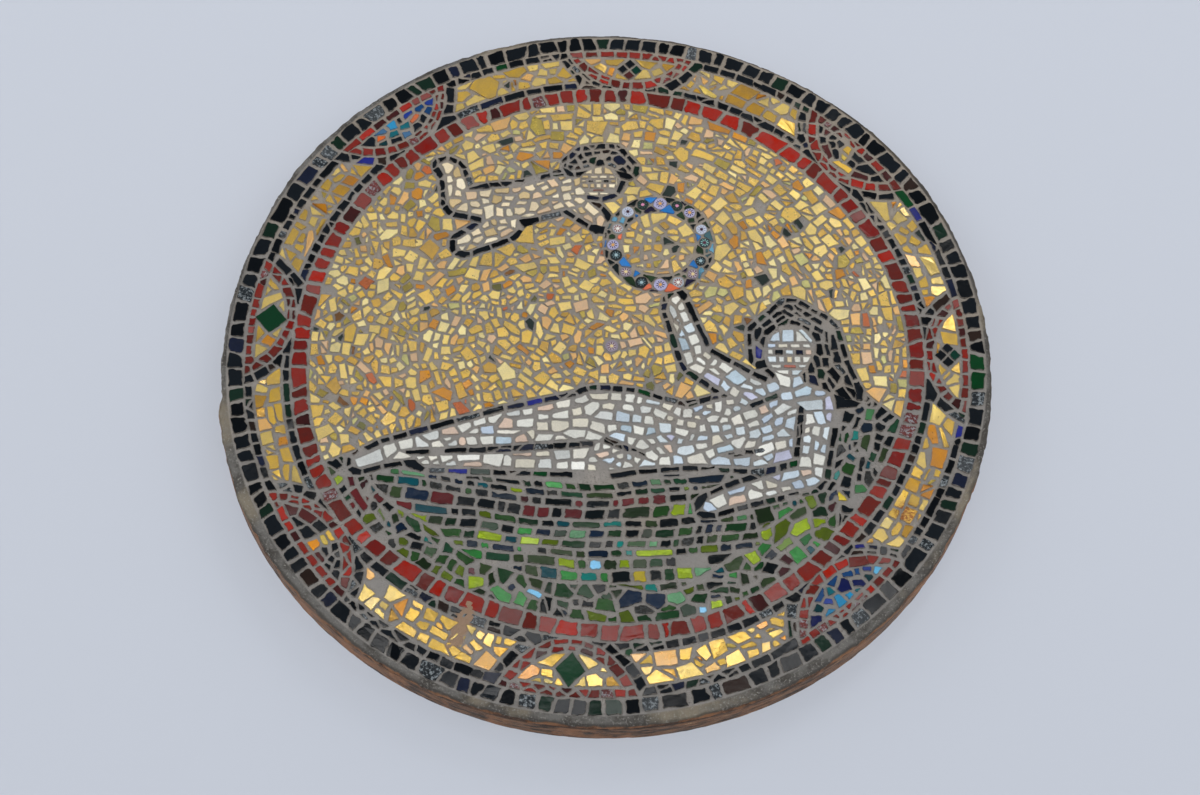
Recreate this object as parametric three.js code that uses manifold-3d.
// A round mosaic wall panel: a rusty iron hoop, filled with cement mortar and faced with glass and ceramic tiles.
// Units are millimetres. +X is the viewer's right, +Z is up, and the tiled face looks along -Y.
// The flat back lies in the plane y = 0, and the origin is the middle of the back.

import * as THREE from 'three';
import { mergeVertices } from 'three/addons/utils/BufferGeometryUtils.js';
import Module from 'manifold-3d';

// Hoop and mortar. Depths are measured from the back towards the viewer.
const hoopRadius = 383;
const hoopThickness = 4;
const hoopDepth = 27;
const lipRadius = 384.5;
const lipRound = 4;
const lipWobble = 0.7;
const mortarDepth = 36;
const pocketDepth = 31;
const groutDepth = 35;
const tileDepth = 36.8;
const clearance = 0.3;
const roundSides = 60;

// Rings of tiles, as radii from the middle of the face pattern, which was set a little off the hoop's own middle.
const patternX = 4;
const patternZ = 6;
const outerCourse = { inner: 358.5, outer: 373, count: 100, joint: 2.8 };
const redRing = { inner: 294.5, outer: 309.5, count: 90, joint: 2.6 };
const frameBand = { inner: 312.2, outer: 356.3 };
const goldBand = { inner: 320, outer: 348.5 };
const pictureRadius = 292;
const zoneJoint = 2.2;

// Medallions: a disc centred outside the tiles, cut off by the outer course.
const medallionAngles = [0, 43, 86, 129, 174, 216, 264, 311];
const medallion = { distance: 384, radius: 72.5, outline: 6.2, rim: 4.2 };
const medallionFills = ['gold', 'dark', 'gold', 'blue', 'gold', 'dark', 'gold', 'blue'];
const frameWidth = 9;
const diamond = { side: 17, joint: 1.6, radius: 335 };

// Wreath of round slices.
const wreath = { x: 52, z: 124, radius: 47, slices: 18, sliceRadius: 7, webWidth: 16, sides: 24 };

// Top line of the green bank, from the left edge of the picture to the right.
const bankLine = [
  [-300, -136], [-250, -112], [-150, -112], [-40, -112], [120, -108], [215, -70], [240, -30], [262, -52], [300, -84],
];

// Figures are rows of limbs. Each limb is a rounded taper: start x, z, radius, then end x, z, radius.
const recliner = {
  upperFoot: [-240, -122, 5, -214, -111, 8],
  upperShin: [-214, -111, 8, -104, -88, 19],
  upperThigh: [-104, -88, 19, -8, -80, 34],
  lowerShin: [-176, -116, 8, -84, -112, 15],
  lowerThigh: [-84, -112, 15, -2, -100, 30],
  hips: [-8, -82, 38, 18, -86, 40],
  waist: [18, -86, 40, 78, -92, 29],
  ribs: [78, -92, 29, 140, -84, 40],
  chest: [140, -84, 40, 176, -72, 42],
  shoulders: [150, -52, 17, 206, -56, 16],
  neck: [178, -40, 12, 179, -18, 10],
  head: [178, -4, 20, 181, 8, 23],
  raisedUpperArm: [148, -48, 15, 88, -8, 11],
  raisedForearm: [88, -8, 11, 69, 49, 8],
  raisedHand: [69, 49, 8, 68, 60, 5],
  restingUpperArm: [206, -58, 14, 196, -132, 11],
  restingForearm: [196, -132, 11, 122, -155, 8],
  restingHand: [122, -155, 8, 96, -166, 6],
};
const reclinerHair = {
  front: [147, -6, 5, 152, 24, 9],
  crown: [152, 24, 9, 182, 45, 11],
  back: [182, 45, 11, 212, 24, 12],
  nape: [212, 24, 12, 217, -14, 15],
  lock: [217, -14, 15, 236, -44, 8],
  inner: [204, 4, 8, 210, -34, 12],
};
const child = {
  upperThigh: [-118, 170, 16, -150, 172, 11],
  upperShin: [-150, 172, 11, -158, 208, 7],
  upperFoot: [-158, 208, 7, -166, 214, 5],
  lowerThigh: [-112, 164, 16, -104, 144, 12],
  lowerShin: [-104, 144, 12, -144, 122, 8],
  belly: [-116, 170, 17, -84, 172, 18],
  chest: [-84, 172, 18, -46, 184, 18],
  neck: [-46, 184, 14, -24, 193, 8],
  head: [-12, 196, 15, -6, 198, 17],
  upperArm: [-44, 180, 9, -16, 158, 8],
  forearm: [-16, 158, 8, -7, 149, 6],
};
const childHair = {
  nape: [-34, 216, 6, -22, 223, 9],
  crown: [-22, 223, 9, 4, 226, 9],
  brow: [4, 226, 9, 20, 212, 5],
};

const wasm = await Module();
wasm.setup();

// Solids for booleans, and back to geometry.

function toSolid(geometry) {
  geometry.deleteAttribute('normal');
  geometry.deleteAttribute('uv');
  const merged = mergeVertices(geometry, 1e-4);
  const mesh = new wasm.Mesh({
    numProp: 3,
    vertProperties: new Float32Array(merged.attributes.position.array),
    triVerts: new Uint32Array(merged.index.array),
  });
  return new wasm.Manifold(mesh);
}

// Slivers narrower than a joint, cut off between two figures, are left to the mortar.
function largestBody(solid) {
  return solid.decompose().reduce((largest, body) => (body.volume() > largest.volume() ? body : largest));
}

function toGeometry(solid) {
  const { vertProperties, triVerts } = solid.getMesh();
  const geometry = new THREE.BufferGeometry();
  geometry.setAttribute('position', new THREE.BufferAttribute(vertProperties, 3));
  geometry.setIndex(new THREE.BufferAttribute(triVerts, 1));
  geometry.computeVertexNormals();
  return geometry;
}

// Outlines are lists of points in the face, measured from the middle of the pattern.

function polar(radius, angle) {
  return new THREE.Vector2(radius * Math.cos(angle), radius * Math.sin(angle));
}

function arc(radius, from, to, steps) {
  return Array.from({ length: steps + 1 }, (_, i) => polar(radius, from + ((to - from) * i) / steps));
}

function circle(radius, steps = roundSides) {
  return arc(radius, 0, 2 * Math.PI, steps).slice(0, -1);
}

function shifted(points, x, z) {
  return points.map((p) => new THREE.Vector2(p.x + x, p.y + z));
}

// A flat plate with an outline in the face, between two depths.
function plate(outline, holes = [], back = pocketDepth + clearance, front = tileDepth) {
  const shape = new THREE.Shape(outline);
  shape.holes = holes.map((hole) => new THREE.Path(hole));
  const geometry = new THREE.ExtrudeGeometry(shape, { depth: front - back, bevelEnabled: false });
  geometry.rotateX(Math.PI / 2);
  geometry.translate(patternX, -back, patternZ);
  return geometry;
}

// Hand-set work: the same small unevenness for the same number, from -1 to 1.
function uneven(seed) {
  const wave = Math.sin(seed * 12.9898) * 43758.5453;
  return 2 * (wave - Math.floor(wave)) - 1;
}

// Iron hoop and mortar bed

function ironHoop() {
  const inner = hoopRadius - hoopThickness;
  const profile = [
    [inner, 0], [inner, -hoopDepth], [hoopRadius, -hoopDepth], [hoopRadius, 0], [inner, 0],
  ].map(([x, y]) => new THREE.Vector2(x, y));
  return toGeometry(toSolid(new THREE.LatheGeometry(profile, roundSides)));
}

function mortarBed() {
  const body = hoopRadius - hoopThickness - clearance;
  const shelf = hoopDepth + clearance;
  const profile = [
    [0, -mortarDepth], [lipRadius - lipRound / 2, -mortarDepth], [lipRadius - 0.6, -mortarDepth + lipRound / 2],
    [lipRadius, -shelf - lipRound / 2], [lipRadius - 1, -shelf], [body, -shelf], [body, 0], [0, 0],
  ].map(([x, y]) => new THREE.Vector2(x, y));
  const lathe = new THREE.LatheGeometry(profile, roundSides);
  const position = lathe.attributes.position;
  for (let i = 0; i < position.count; i += 1) {
    const x = position.getX(i);
    const z = position.getZ(i);
    const radius = Math.hypot(x, z);
    if (radius > hoopRadius - 2) {
      const angle = Math.atan2(z, x);
      const scale = 1 + (lipWobble * (Math.sin(7 * angle) + Math.sin(17 * angle + 1))) / radius;
      position.setX(i, x * scale);
      position.setZ(i, z * scale);
    }
  }
  const pocket = plate(circle(outerCourse.outer + 1), [], pocketDepth, mortarDepth + 2);
  return toGeometry(toSolid(lathe).subtract(toSolid(pocket)));
}

// Courses of tiles round the pattern: a web of mortar with each tile standing proud of it.

function tileCourse(course, seed) {
  const sides = course.count / 2;
  let solid = toSolid(plate(circle(course.outer, sides), [circle(course.inner, sides)], undefined, groutDepth));
  const pitch = (2 * Math.PI) / course.count;
  const inset = course.joint / 2;
  for (let i = 0; i < course.count; i += 1) {
    const from = pitch * (i + 0.16 * uneven(seed + i)) + inset / course.inner;
    const to = pitch * (i + 1 + 0.16 * uneven(seed + ((i + 1) % course.count))) - inset / course.inner;
    const skew = 0.9 * uneven(seed + 31 * i);
    const inner = course.inner + inset + 0.5 * uneven(seed + 7 * i);
    const outer = course.outer - inset - 0.5 + 0.8 * uneven(seed + 11 * i);
    const corners = [
      polar(inner, from), polar(outer + skew, from), polar(outer - skew, to), polar(inner - 0.3, to),
    ].reverse();
    solid = solid.add(toSolid(plate(corners, [], groutDepth - 1, tileDepth)));
  }
  return toGeometry(solid);
}

// Border: gold panels in dark frames between the medallions

// The angle from a medallion's own line at which a disc of the given size about its middle meets a radius.
function reach(radius, size) {
  const d = medallion.distance;
  const cosine = (radius ** 2 + d ** 2 - size ** 2) / (2 * radius * d);
  return Math.acos(THREE.MathUtils.clamp(cosine, -1, 1));
}

// A stretch of band between two medallions, kept the given distance from each.
function bandOutline(index, inner, outer, away) {
  const start = THREE.MathUtils.degToRad(medallionAngles[index]);
  const next = medallionAngles[(index + 1) % medallionAngles.length];
  const end = THREE.MathUtils.degToRad(next > medallionAngles[index] ? next : next + 360);
  const size = medallion.radius + away;
  const steps = 3;
  const radii = Array.from({ length: steps + 1 }, (_, i) => inner + ((outer - inner) * i) / steps);
  const right = radii.map((r) => polar(r, start + reach(r, size)));
  const left = radii.map((r) => polar(r, end - reach(r, size))).reverse();
  const top = arc(outer, start + reach(outer, size), end - reach(outer, size), 3).slice(1, -1);
  const bottom = arc(inner, end - reach(inner, size), start + reach(inner, size), 3).slice(1, -1);
  return [...right, ...top, ...left, ...bottom];
}

function goldPanel(index) {
  return plate(bandOutline(index, goldBand.inner, goldBand.outer, 2 * zoneJoint + frameWidth));
}

function darkFrame(index) {
  const outline = bandOutline(index, frameBand.inner, frameBand.outer, zoneJoint);
  const { inner, outer } = goldBand;
  const hole = bandOutline(index, inner - zoneJoint, outer + zoneJoint, zoneJoint + frameWidth);
  return plate(outline, [hole]);
}

// The lens left of a disc about the medallion's middle when the outer course cuts it off.
function lensOutline(angle, size, outer) {
  const half = reach(outer, size);
  const middle = polar(medallion.distance, angle);
  const start = polar(outer, angle + half);
  const end = polar(outer, angle - half);
  const from = Math.atan2(start.y - middle.y, start.x - middle.x);
  let to = Math.atan2(end.y - middle.y, end.x - middle.x);
  if (to < from) {
    to += 2 * Math.PI;
  }
  const bulge = shifted(arc(size, from, to, 8), middle.x, middle.y);
  const rim = arc(outer, angle - half, angle + half, 4).slice(1, -1);
  return [...bulge, ...rim];
}

function medallionOutline(angle) {
  const inside = medallion.radius - medallion.outline;
  const hole = lensOutline(angle, inside, frameBand.outer - medallion.rim);
  return plate(lensOutline(angle, medallion.radius, frameBand.outer), [hole]);
}

function diamondOutline(angle, grow = 0) {
  const corners = arc((diamond.side + 2 * grow) / Math.SQRT2, angle, angle + 2 * Math.PI, 4).slice(0, -1);
  const middle = polar(diamond.radius, angle);
  return shifted(corners, middle.x, middle.y);
}

function medallionFill(angle, hasDiamond) {
  const inside = medallion.radius - medallion.outline - zoneJoint;
  const outline = lensOutline(angle, inside, frameBand.outer - medallion.rim - zoneJoint);
  return plate(outline, hasDiamond ? [diamondOutline(angle, diamond.joint)] : []);
}

// Picture

function endSteps(radius) {
  return radius > 12 ? 3 : 2;
}

// A rounded taper between two discs, each made larger by grow.
function limbOutline([x0, z0, r0, x1, z1, r1], grow) {
  const start = r0 + grow;
  const end = r1 + grow;
  const along = Math.atan2(z1 - z0, x1 - x0);
  const spread = Math.acos((start - end) / Math.hypot(x1 - x0, z1 - z0));
  const back = shifted(arc(start, along + spread, along + 2 * Math.PI - spread, endSteps(r0)), x0, z0);
  const front = shifted(arc(end, along - spread, along + spread, endSteps(r1)), x1, z1);
  return [...back, ...front];
}

function figure(limbs, grow = 0, back = undefined, front = undefined) {
  return Object.values(limbs)
    .map((limb) => toSolid(plate(limbOutline(limb, grow), [], back, front)))
    .reduce((joined, limb) => joined.add(limb));
}

// Cutters reach past both sides of the tiles.
const cutBack = pocketDepth - 2;
const cutFront = tileDepth + 2;

function cutter(limbs) {
  return figure(limbs, zoneJoint, cutBack, cutFront);
}

const wreathInner = wreath.radius - wreath.webWidth / 2;
const wreathOuter = wreath.radius + wreath.webWidth / 2;

function wreathCircle(radius, sides = wreath.sides) {
  return shifted(circle(radius, sides), wreath.x, wreath.z);
}

function wreathOfSlices() {
  let solid = toSolid(plate(wreathCircle(wreathOuter), [wreathCircle(wreathInner)], undefined, groutDepth));
  for (let i = 0; i < wreath.slices; i += 1) {
    const middle = polar(wreath.radius + 0.6 * uneven(i), (2 * Math.PI * i) / wreath.slices);
    const slice = shifted(circle(wreath.sliceRadius, 6), wreath.x + middle.x, wreath.z + middle.y);
    solid = solid.add(toSolid(plate(slice, [], groutDepth - 1, tileDepth)));
  }
  return solid;
}

// Everything below the bank's top line, lowered or raised by lift.
function belowBank(lift, back, front) {
  const top = bankLine.map(([x, z]) => new THREE.Vector2(x, z + lift));
  const floor = [new THREE.Vector2(300, -300), new THREE.Vector2(-300, -300)];
  return toSolid(plate([...top, ...floor].reverse(), [], back, front));
}

function greenBank() {
  const disc = toSolid(plate(circle(pictureRadius)));
  const bank = disc.intersect(belowBank(0, cutBack, cutFront));
  return largestBody(bank.subtract(cutter(recliner)).subtract(cutter(reclinerHair)));
}

function goldGround() {
  const cuts = [recliner, reclinerHair, child, childHair].map(cutter);
  const disc = toSolid(plate(circle(pictureRadius)));
  const wreathHole = toSolid(plate(wreathCircle(wreathOuter + zoneJoint), [], cutBack, cutFront));
  const ground = [belowBank(zoneJoint, cutBack, cutFront), wreathHole, ...cuts]
    .reduce((left, cut) => left.subtract(cut), disc);
  return largestBody(ground);
}

// Assembly

const panel = new THREE.Group();

function addPart(name, geometry, color, roughness, metalness = 0) {
  const material = new THREE.MeshStandardMaterial({ color, roughness, metalness });
  const mesh = new THREE.Mesh(geometry, material);
  mesh.name = name;
  panel.add(mesh);
}

const colours = {
  black: 0x14171a,
  red: 0x7a2620,
  gold: 0xc79a3f,
  dark: 0x1c2422,
  blue: 0x1f4c86,
  green: 0x1c4a28,
};

addPart('iron_hoop', ironHoop(), 0x6e4a33, 0.85, 0.3);
addPart('mortar_bed', mortarBed(), 0x8d877f, 0.95);
addPart('outer_course', tileCourse(outerCourse, 1), colours.black, 0.2);
addPart('red_ring', tileCourse(redRing, 500), colours.red, 0.25);

medallionAngles.forEach((degrees, i) => {
  const angle = THREE.MathUtils.degToRad(degrees);
  const kind = medallionFills[i];
  const number = i + 1;
  addPart(`medallion_outline_${number}`, medallionOutline(angle), colours.red, 0.25);
  addPart(`medallion_fill_${number}`, medallionFill(angle, kind === 'gold'), colours[kind], 0.25);
  if (kind === 'gold') {
    addPart(`diamond_${number}`, plate(diamondOutline(angle)), colours.green, 0.2);
  }
  addPart(`gold_panel_${number}`, goldPanel(i), colours.gold, 0.3, 0.6);
  addPart(`dark_frame_${number}`, darkFrame(i), colours.black, 0.2);
});

addPart('gold_ground', toGeometry(goldGround()), colours.gold, 0.3, 0.6);
addPart('green_bank', toGeometry(greenBank()), 0x2c4a2c, 0.25);
addPart('reclining_figure', toGeometry(figure(recliner)), 0xd8d6cf, 0.3);
addPart('reclining_hair', toGeometry(largestBody(figure(reclinerHair).subtract(cutter(recliner)))), colours.black, 0.2);
addPart('flying_child', toGeometry(figure(child)), 0xd6c6a6, 0.35);
addPart('child_hair', toGeometry(largestBody(figure(childHair).subtract(cutter(child)))), colours.black, 0.2);
addPart('wreath', toGeometry(wreathOfSlices()), 0x4a6474, 0.25);
addPart('wreath_ground', plate(wreathCircle(wreathInner - zoneJoint)), colours.gold, 0.3, 0.6);

export default panel;
